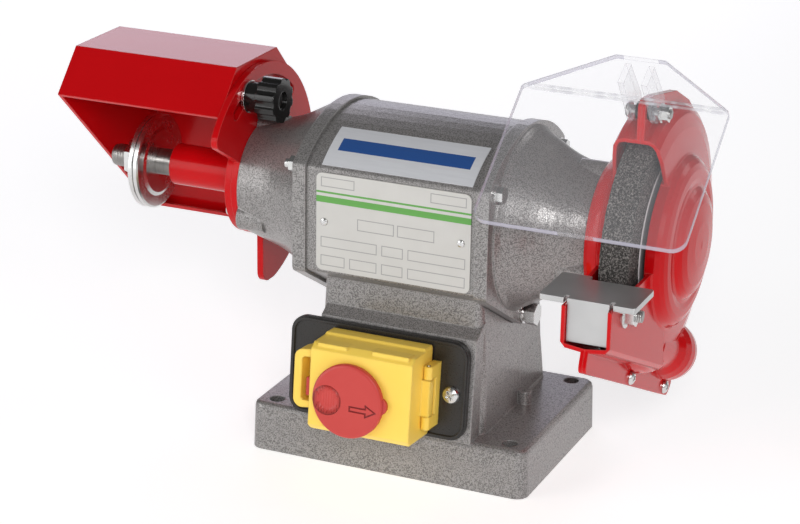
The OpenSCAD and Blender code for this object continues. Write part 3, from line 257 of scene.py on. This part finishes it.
# %% [markdown]
# ## Zinc, steel and copper
# Fasteners are zinc plated: bright, with a faint yellow and blue drift and fine rolling lines. The
# tool rest is thick sheet with a duller, cloudy coat, so it has a finish of its own. The shaft is
# turned steel, darker, with rings from the tool. The packs are bare laminations.

# %% Zinc, steel and copper
zinc = Finish("zinc_plate", edge=0.35, Metallic=1.0)
bloom = zinc.noise(9.0, detail=3.0)
rolled = zinc.noise(1.0, detail=2.0, stretch=(0.12, 1.0, 1.0))
plate_tint = bloom.mix(colour(0.56, 0.56, 0.54), colour(0.70, 0.70, 0.71))
zinc.set("Base Color", (zinc.edges() * 0.6).mix(plate_tint, colour(0.86, 0.87, 0.88)))
zinc.set("Roughness", 0.15 + bloom * 0.14 + rolled * 0.08)
zinc.relief(rolled, 0.02, 0.5)
dress(zinc, "bottom_cover", "cover_screws", "tie_rods", "tie_nuts", "plate_rivets", "switch_screws",
      "lid_pin", "guard_screws", "guard_nuts", "bell_screws", "wheel_flanges", "wheel_nut", "rest_stud",
      "rest_nut", "shield_bolt", "shield_nut", "hood_nut", "knob_washer", "clamp_discs", "spindle_washer",
      "spindle_nut", "capacitor_clip")

rest_zinc = Finish("rest_zinc", edge=0.4)
cloudy = rest_zinc.noise(22.0, detail=2.0)
drawn = rest_zinc.noise(1.2, detail=2.0, stretch=(0.1, 1.0, 1.0))
rest_tint = cloudy.mix(colour(0.44, 0.44, 0.44), colour(0.60, 0.60, 0.60))
rest_zinc.set("Base Color", (rest_zinc.edges() * 0.7).mix(rest_tint, colour(0.88, 0.88, 0.88)))
rest_zinc.set("Metallic", 0.72 + drawn * 0.15)
rest_zinc.set("Roughness", 0.26 + cloudy * 0.14 + drawn * 0.06)
rest_zinc.relief(drawn, 0.015, 0.4)
dress(rest_zinc, "tool_rest")

steel = Finish("turned_steel", edge=0.3, Metallic=1.0)
rings = steel.noise(0.5, detail=1.0, stretch=(1.0, 0.03, 0.03))
steel.set("Base Color", rings.mix(colour(0.22, 0.21, 0.20), colour(0.40, 0.39, 0.38)))
steel.set("Roughness", 0.26 + rings * 0.16)
steel.relief(rings, 0.03, 0.5)
dress(steel, "shaft", "bearing_outer_rings", "bearing_inner_rings", "preload_washer")

layers = Finish("laminations", edge=0.3, Metallic=0.8)
layer = (layers.x / 0.5).sum("FRACT")
layers.set("Base Color", layer.fade(0.75, 0.95).mix(colour(0.2, 0.2, 0.21), colour(0.07, 0.07, 0.07)))
layers.set("Roughness", 0.4 + layers.noise(3.0) * 0.2)
dress(layers, "stator_core", "rotor_core")

copper = Finish("varnished_copper", edge=0.3, Metallic=0.7, Coat_Weight=0.4)
strand = copper.noise(0.8, detail=1.0, stretch=(1.0, 0.1, 0.1))
copper.set("Base Color", strand.mix(colour(0.30, 0.10, 0.035), colour(0.52, 0.21, 0.07)))
copper.set("Roughness", 0.3 + strand * 0.2)
copper.relief(strand, 0.1, 0.7)
dress(copper, "stator_windings")

# %% [markdown]
# ## Plastics
# The lid is moulded yellow plastic with a satin skin, the disc on it is red, and the plate behind is
# black with a fine spark texture. One function makes them, because they differ only in colour and
# in how coarse the skin is. The groove of the arrow on the disc gets painted shade: whatever lies
# deeper than the disc's face, in the arrow's rectangle, turns dark red.

# %% Plastics
def moulded(name, base, light, grain, gloss, edge=0.5):
    """A moulded plastic: two close colours in soft clouds, a grained skin and lighter edges."""
    finish = Finish(name, edge=edge, Specular_IOR_Level=0.45)
    skin = finish.noise(grain, detail=3.0, rough=0.6)
    clouds = finish.noise(16.0)
    body = (clouds * 0.7).mix(colour(*base), colour(*light))
    finish.set("Base Color", (finish.edges() * 0.35).mix(body, colour(*light)))
    finish.set("Roughness", gloss + skin * 0.14)
    finish.relief(skin, 0.03, 0.5)
    return finish


yellow = moulded("yellow_plastic", (0.93, 0.63, 0.075), (0.98, 0.72, 0.15), 0.8, 0.30, edge=1.6)
stop_red = moulded("red_plastic", (0.52, 0.040, 0.034), (0.59, 0.060, 0.050), 0.7, 0.30, edge=0.7)
rib_red = moulded("ribbed_red", (0.52, 0.040, 0.034), (0.59, 0.060, 0.050), 0.7, 0.30, edge=0.05)
black = moulded("black_plastic", (0.012, 0.011, 0.010), (0.034, 0.030, 0.028), 0.6, 0.22, edge=0.8)
grey_plastic = moulded("grey_plastic", (0.42, 0.42, 0.40), (0.5, 0.5, 0.48), 0.7, 0.4)
green = moulded("green_plastic", (0.02, 0.25, 0.05), (0.04, 0.32, 0.08), 0.6, 0.3)
dress(yellow, "switch_lid", "lid_frame")
switch_place, plate_lean = (-4.4, -54.6, 55.4), math.radians(5.5)
disc_middle, disc_thick = (-3.3, -5.5, 31.3), 4.0
forward, upward = stop_red.y - switch_place[1], stop_red.z - switch_place[2]
from_plate = upward * math.sin(plate_lean) - forward * math.cos(plate_lean)
up_disc = upward * math.cos(plate_lean) + forward * math.sin(plate_lean)
below_face = from_plate < disc_middle[2] + disc_thick - 0.1
# painted shade: the arrow's groove, below the disc's face, turns dark red
arrow_groove_shade = below_face * stop_red.x.between(-6.8, 9.2) * up_disc.between(-13.2, -4.6)
disc_colour = Socket(stop_red.tree, stop_red.shader.inputs["Base Color"].links[0].from_socket)
stop_red.set("Base Color", (arrow_groove_shade * 0.85).mix(disc_colour, colour(0.20, 0.006, 0.008)))
dress(stop_red, "stop_disc")
gloss_black = moulded("gloss_black", (0.005, 0.005, 0.005), (0.014, 0.013, 0.012), 0.9, 0.06, edge=0.8)
dress(gloss_black, "hood_knob")
dress(black, "switch_plate", "cable_gland", "shield_spacers", "stop_button")
dress(grey_plastic, "switch_body", "capacitor", "terminal_block")
dress(green, "start_button")

# %% [markdown]
# ## Clear shield
# Sheet plastic is almost gone where you look through it and shows at its sawn edges, which gather
# the light, and along its bend, which breaks it into glints. A mask of both raises the cover there,
# and the faces keep a faint veil. The ears are sheet too, so they stay clear.

# %% Clear shield
clear = Finish("clear_sheet", edge=1.1, Roughness=0.06, Specular_IOR_Level=0.6)
face_turn = Socket(clear.tree, clear.tree.nodes.new("ShaderNodeNewGeometry").outputs["Normal"])
tilt = math.radians(34.7)
across = face_turn.add("ShaderNodeVectorMath", {"operation": "DOT_PRODUCT"},
                       {0: face_turn, 1: (0.0, -math.sin(tilt), math.cos(tilt))}, out=1)
shield_low, shield_high = (np.array(corner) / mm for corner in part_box("shield"))
middle_x = float(shield_low[0] + shield_high[0]) / 2
ears = abs(clear.x - middle_x) < 9.0
sawn = (1.0 - abs(across).fade(0.55, 0.8)) * (1.0 - ears * 0.8)
bend_y, bend_z = -63.0, shaft_z + 92.3
past_bend = (clear.y - bend_y) * math.cos(tilt) + (clear.z - bend_z) * math.sin(tilt)
off_sheet = (clear.z - bend_z) * math.cos(tilt) - (clear.y - bend_y) * math.sin(tilt)
crease = (1.0 - abs(past_bend).fade(0.5, 1.3)) * (abs(off_sheet) < 4.0)
glint = clear.noise(6.0, detail=1.0, stretch=(1.0, 0.2, 0.2)).fade(0.42, 0.6)
rim = (sawn * 0.75 + clear.edges(0.03, 0.2) * 0.35 + crease * (0.4 + glint * 0.5)).smaller(1.0)
scuffs = clear.noise(5.0, detail=4.0, rough=0.7)
edge_tint = (crease * 0.8).mix(colour(0.40, 0.38, 0.50), colour(0.92, 0.92, 0.96))
clear.set("Base Color", rim.mix(colour(0.86, 0.86, 0.90), edge_tint))
clear.set("Alpha", 0.045 + scuffs * 0.04 + rim * 0.74)
dress(clear, "shield")

# %% [markdown]
# ## Plates
# The front plate is white with a thin and a thick green line near its top and rows of empty boxes
# for figures. Each box is the difference of two rectangles, worked out from the coordinates, so the
# lines stay sharp at any size. The upper label is bare metal with one plain blue band.

# %% Plates
plate_low, plate_high = (np.array(corner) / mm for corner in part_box("rating_plate"))
print("plate:", plate_low.round(1), plate_high.round(1))
plate = Finish("white_plate", edge=0.3, Specular_IOR_Level=0.4)
across_plate = (plate.x - float(plate_low[0])) / float(plate_high[0] - plate_low[0])
up_plate = (plate.z - float(plate_low[2])) / float(plate_high[2] - plate_low[2])


def outline(u, v, box, line):
    """1 on the border of a box: inside the box and not inside the same box drawn in by the line."""
    u0, u1, v0, v1 = box
    outer = u.between(u0, u1) * v.between(v0, v1)
    inner = u.between(u0 + line, u1 - line) * v.between(v0 + line * 1.6, v1 - line * 1.6)
    return outer - inner


boxes = [(0.03, 0.25, 0.86, 0.96), (0.74, 0.97, 0.86, 0.96),
         (0.27, 0.51, 0.46, 0.58), (0.53, 0.77, 0.46, 0.58),
         (0.03, 0.40, 0.24, 0.35), (0.43, 0.57, 0.24, 0.35), (0.60, 0.97, 0.24, 0.35),
         (0.03, 0.19, 0.05, 0.16), (0.22, 0.40, 0.05, 0.16),
         (0.43, 0.57, 0.05, 0.16), (0.60, 0.97, 0.05, 0.16)]
ink = outline(across_plate, up_plate, boxes[0], 0.006)
for spec in boxes[1:]:
    ink = ink + outline(across_plate, up_plate, spec, 0.006)
stripes = (up_plate.between(0.795, 0.815) + up_plate.between(0.70, 0.765)).smaller(1.0)
paper_white = plate.noise(12.0).mix(colour(0.51, 0.50, 0.475), colour(0.57, 0.56, 0.535))
printed = stripes.mix(paper_white, colour(0.11, 0.33, 0.07))
plate.set("Base Color", (ink * 0.75).smaller(1.0).mix(printed, colour(0.25, 0.25, 0.25)))
plate.set("Roughness", 0.34 + plate.noise(1.5) * 0.08)
dress(plate, "rating_plate")

label_low, label_high = (np.array(corner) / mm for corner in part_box("label_panel"))
label = Finish("label_panel", edge=0.3, Metallic=0.1)
along = (label.x - float(label_low[0])) / float(label_high[0] - label_low[0])
down = (label.y - float(label_low[1])) / float(label_high[1] - label_low[1])
band = along.between(0.06, 0.94) * down.between(0.34, 0.66)
silver = label.noise(1.2, stretch=(0.1, 1.0, 1.0)).mix(colour(0.62, 0.63, 0.66), colour(0.70, 0.71, 0.74))
label.set("Base Color", band.mix(silver, colour(0.02, 0.085, 0.30)))
label.set("Roughness", 0.36 + label.noise(2.0) * 0.1)
dress(label, "label_panel")

# %% [markdown]
# ## Surfaces of turning
# Threads, the grit wheel and the ribs are grids of points: one parameter runs round and the other
# along. One function turns such a grid into a mesh, with the seam joined and the ends closed.

# %% Grid to mesh
def grid_piece(name, rows, finish, body, ends="fan", smooth=True):
    """Mesh of a grid (rows, columns, 3) whose columns run round a loop.

    Point (i, j) joins (i, j+1) and (i+1, j), with j counted round the loop. The ends are closed
    with a fan to the middle of the first and the last row, or the last row joins the first.
    """
    count, loop, _ = rows.shape
    points = rows.reshape(-1, 3)
    j = np.arange(loop)
    i = np.arange(count if ends == "join" else count - 1)[:, None]
    nxt = (i + 1) % count
    quads = np.stack([i * loop + j, i * loop + (j + 1) % loop,
                      nxt * loop + (j + 1) % loop, nxt * loop + j], -1).reshape(-1, 4)
    faces = quads.tolist()
    if ends == "fan":
        middles = np.stack([rows[0].mean(0), rows[-1].mean(0)])
        points = np.concatenate([points, middles])
        low, high = len(points) - 2, len(points) - 1
        first = np.stack([np.full(loop, low), (j + 1) % loop, j], -1)
        end = (count - 1) * loop
        last = np.stack([np.full(loop, high), end + j, end + (j + 1) % loop], -1)
        faces += first.tolist() + last.tolist()
    mesh = bpy.data.meshes.new(name)
    mesh.from_pydata(points.tolist(), [], faces)
    mesh.polygons.foreach_set("use_smooth", np.full(len(mesh.polygons), smooth))
    mesh.materials.append(finish.material)
    mesh.update()
    piece = bpy.data.objects.new(name, mesh)
    bpy.context.scene.collection.objects.link(piece)
    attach(piece, body)
    print(name, "has", len(mesh.polygons), "faces")
    return piece


# %% [markdown]
# ## Threads
# A screw thread is a groove wound round a bar. On the grid the radius is the bar's radius less a
# wave, and the wave's phase is the turn angle plus the way along, which winds it into a helix.

# %% Threads
def thread(name, radius, depth, pitch, x0, x1, centre, body):
    """Threaded end along X: radius minus depth times a rounded wave of (x / pitch - angle / turn).

    The wave fades out over the last pitch at both ends, where the radius drops by the depth.
    """
    around = np.linspace(0, 2 * np.pi, 48, endpoint=False)
    along = np.linspace(x0, x1, int(abs(x1 - x0) / pitch * 14))
    turn, x = np.meshgrid(around, along)
    wave = 0.5 - 0.5 * np.cos(2 * np.pi * x / pitch - turn)
    edge = np.clip(np.minimum(x - min(x0, x1), max(x0, x1) - x) / pitch, 0, 1)
    r = radius - depth * (1 - edge) - depth * np.power(wave, 0.8) * edge
    rows = np.stack([x, centre[0] + r * np.cos(turn), centre[1] + r * np.sin(turn)], -1) * mm
    return grid_piece(name, rows, steel, body)


shaft_axis = (0.0, shaft_z)
tip_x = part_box("shaft")[0].x / mm
nut_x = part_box("spindle_nut")[0].x / mm
thread("spindle_thread", 6.48, 0.55, 1.75, tip_x + 0.4, nut_x - 0.05, shaft_axis, "rotor")


def free_end(bolt, nut):
    """Where a bolt along X stands out of its nut: the two X places and the bolt's axis."""
    low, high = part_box(bolt)
    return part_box(nut)[1].x / mm + 0.05, high.x / mm, ((low.y + high.y) / 2 / mm, (low.z + high.z) / 2 / mm)


out, tip, middle = free_end("rest_stud", "rest_nut")
thread("rest_thread", 3.26, 0.3, 1.0, out, tip + 0.02, middle, "stand")
out, tip, middle = free_end("shield_bolt", "shield_nut")
thread("shield_thread", 2.74, 0.27, 0.8, out, tip + 0.02, middle, "stand")

# %% [markdown]
# ## Grinding wheel
# The wheel is bonded grit, so neither its rim nor its sides are true surfaces. The profile runs
# from the bore out over one side, across the rim and back. Every point is pushed in or out by
# seeded noise, smoothed a little so that grains are wider than one point. The card rings at its
# sides are grey, with a thin pale ring at their outer edge.

# %% Grinding wheel
def grit_wheel(name, bore, radius, x0, x1, grain, finish):
    """Closed ring of grit: a rounded rectangle profile carried round X, less random grain depths.

    The profile has equal steps of about 1.1 mm on both sides and over the rim. Grain depth is the
    square of smoothed random numbers, so pits are rarer than flats.
    """
    step, corner = 1.15, 0.9
    out = np.arange(bore, radius - corner, step)
    turn = np.linspace(0, np.pi / 2, 4)[1:-1]
    left = np.stack([out, np.full_like(out, x0)], -1)
    left_corner = np.stack([radius - corner + corner * np.sin(turn), x0 + corner - corner * np.cos(turn)], -1)
    rim_x = np.linspace(x0 + corner, x1 - corner, int((x1 - x0) / step))
    rim = np.stack([np.full_like(rim_x, radius), rim_x], -1)
    mirror_x = np.array([[1.0, -1.0]])
    shift = np.array([[0.0, x0 + x1]])
    profile = np.concatenate([left, left_corner, rim, left_corner[::-1] * mirror_x + shift,
                              left[::-1] * mirror_x + shift])
    inward = np.gradient(profile, axis=0)
    inward = np.stack([-inward[:, 1], inward[:, 0]], -1)
    inward /= np.linalg.norm(inward, axis=1, keepdims=True) + 1e-9
    around = np.linspace(0, 2 * np.pi, 330, endpoint=False)
    grains = np.random.default_rng(7).random((len(profile), len(around)))
    grains = 0.5 * grains + 0.25 * (np.roll(grains, 1, 1) + np.roll(grains, 1, 0))
    depth = grain * grains ** 2
    r = profile[:, :1] + inward[:, :1] * depth
    x = profile[:, 1:] + inward[:, 1:] * depth
    rows = np.stack([x, r * np.cos(around), shaft_z + r * np.sin(around)], -1) * mm
    return grid_piece(name, rows, finish, "rotor", ends="join", smooth=False)


grit = Finish("wheel_grit", edge=0.0, Specular_IOR_Level=0.4)
grains = grit.cells(0.75)
speck = grit.noise(0.9, detail=3.0, rough=0.7)
dust = grit.noise(14.0)
stone = speck.fade(0.48, 0.64).mix(colour(0.020, 0.018, 0.017), colour(0.30, 0.275, 0.26))
stone = (dust * 0.25).mix(stone, colour(0.11, 0.10, 0.095))
wheel_low, wheel_high = (np.array(corner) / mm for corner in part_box("wheel"))
grit.set("Base Color", stone)
grit.set("Roughness", 0.62 + grains * 0.3)
grit.relief(grains + speck, 0.35, 0.9)
wheel = grit_wheel("wheel_stone", bore=6.4, radius=float(wheel_high[1]), x0=float(wheel_low[0]),
                   x1=float(wheel_high[0]), grain=0.55, finish=grit)
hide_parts("wheel")

card = Finish("card", edge=0.2)
above_axis = card.z - shaft_z
from_axis = (card.y * card.y + above_axis * above_axis).sum("SQRT")
# a thin pale ring within 0.9 mm of the cards' outer radius
pale_outer_ring = from_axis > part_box("wheel_papers")[1].y / mm - 0.9
fibre = card.noise(2.0, detail=4.0).mix(colour(0.22, 0.215, 0.22), colour(0.33, 0.32, 0.325))
card.set("Base Color", pale_outer_ring.mix(fibre, colour(0.72, 0.67, 0.68)))
card.set("Roughness", 0.75 + card.noise(1.0) * 0.15)
dress(card, "wheel_papers")

# %% [markdown]
# ## Thumb ribs
# The stop disc is pushed aside with the thumb, and the dish for it has upright ribs. The dish is
# part of a ball with a flat floor, so the ribs are a wave across it that dies out at the rim.
# The grid is made in the frame of the switch and then leant back with the plate.

# %% Thumb ribs
def thumb_ribs(name, middle, dish_low, reach, body):
    """Lens in the dish: floor height plus a ridge wave across, for rings of radius 0 to the reach.

    The floor is 14 less the root of 169 less radius squared, and at least the low of the dish. A
    ridge is the raised cosine of x over 1.5 mm, and it fades over the last 1.2 mm of the reach.
    """
    rings = np.concatenate([[reach * 0.5], np.linspace(reach, 0.15, 42)])
    around = np.linspace(0, 2 * np.pi, 120, endpoint=False)
    turn, radius = np.meshgrid(around, rings)
    x, v = radius * np.cos(turn), radius * np.sin(turn)
    ball_height, ball_radius, pitch = 14, 13, 1.5
    floor_height = np.maximum(dish_low, ball_height - np.sqrt(ball_radius ** 2 - radius ** 2))
    ridge = (0.5 + 0.5 * np.cos(2 * np.pi * x / pitch)) ** 1.5
    height = floor_height + 0.12 + 0.13 * ridge * np.clip((reach - radius) / 1.2, 0, 1)
    height[0] = floor_height[0] - 0.4
    x, v, w = x + middle[0], v + middle[1], height + middle[2]
    y = v * math.sin(plate_lean) - w * math.cos(plate_lean)
    z = v * math.cos(plate_lean) + w * math.sin(plate_lean)
    rows = (np.stack([x, y, z], -1) + np.array(switch_place)) * mm
    return grid_piece(name, rows, rib_red, body)


dish_middle = (disc_middle[0] - 11.5, disc_middle[1] - 1.0, disc_middle[2])
thumb_ribs("thumb_ribs", dish_middle, 1.8, 8.2, "disc")

# %% [markdown]
# ## Floor and light
# The machine stands on a pale light table: the floor glows a little, which lifts the lower faces
# and keeps the shadow soft. Two large lamps stand off to the front left and the front right, a
# smaller one hangs beside the camera for the highlights on the round castings, and two lie low
# behind, where the flat tops mirror them as a cool sheen. The last one fills the back.

# %% Floor and light
floor_mesh = bpy.data.meshes.new("floor")
floor_mesh.from_pydata([(-6, -6, 0), (6, -6, 0), (6, 6, 0), (-6, 6, 0)], [], [(0, 1, 2, 3)])
floor = bpy.data.objects.new("floor", floor_mesh)
bpy.context.scene.collection.objects.link(floor)
pale = bpy.data.materials.new("pale_floor")
pale.use_nodes = True
pale_sockets = pale.node_tree.nodes["Principled BSDF"].inputs
pale_sockets["Base Color"].default_value = colour(0.84, 0.84, 0.84)
pale_sockets["Roughness"].default_value = 0.6
pale_sockets["Emission Color"].default_value = colour(1.0, 1.0, 1.0)
pale_sockets["Emission Strength"].default_value = 0.56
floor_mesh.materials.append(pale)

world = bpy.data.worlds.new("studio")
bpy.context.scene.world = world
world.use_nodes = True
world.node_tree.nodes["Background"].inputs["Color"].default_value = colour(1.0, 1.0, 1.0)
world.node_tree.nodes["Background"].inputs["Strength"].default_value = 0.13


def lamp(name, place, aim, size, power, tint=(1.0, 1.0, 1.0)):
    """A square area lamp at a place, turned to face a point."""
    data = bpy.data.lights.new(name, "AREA")
    data.shape, data.size, data.energy, data.color = "SQUARE", size, power, tint
    light = bpy.data.objects.new(name, data)
    light.location = place
    light.rotation_euler = (Vector(aim) - Vector(place)).to_track_quat("-Z", "Y").to_euler()
    bpy.context.scene.collection.objects.link(light)


lamp("front_left", (-1.35, -1.35, 0.6), (0, 0, 0.12), 1.2, 13.5)
lamp("front_right", (1.45, -0.95, 0.95), (0.05, 0, 0.12), 0.8, 4.0)
lamp("camera_side", (0.78, -1.55, 0.95), (0.02, 0, 0.14), 0.5, 14)
lamp("behind", (-1.14, 1.40, 0.80), (-0.1, 0, 0.2), 0.8, 4.2, (0.92, 0.88, 1.0))
lamp("behind_low", (-0.45, 1.40, 0.45), (0.1, 0, 0.08), 0.45, 1.0, (0.88, 0.86, 1.0))
lamp("behind_right", (1.0, 1.5, 1.1), (0, 0, 0.12), 0.8, 4)
bpy.context.scene.view_settings.view_transform = "Standard"
print("floor and six lamps")
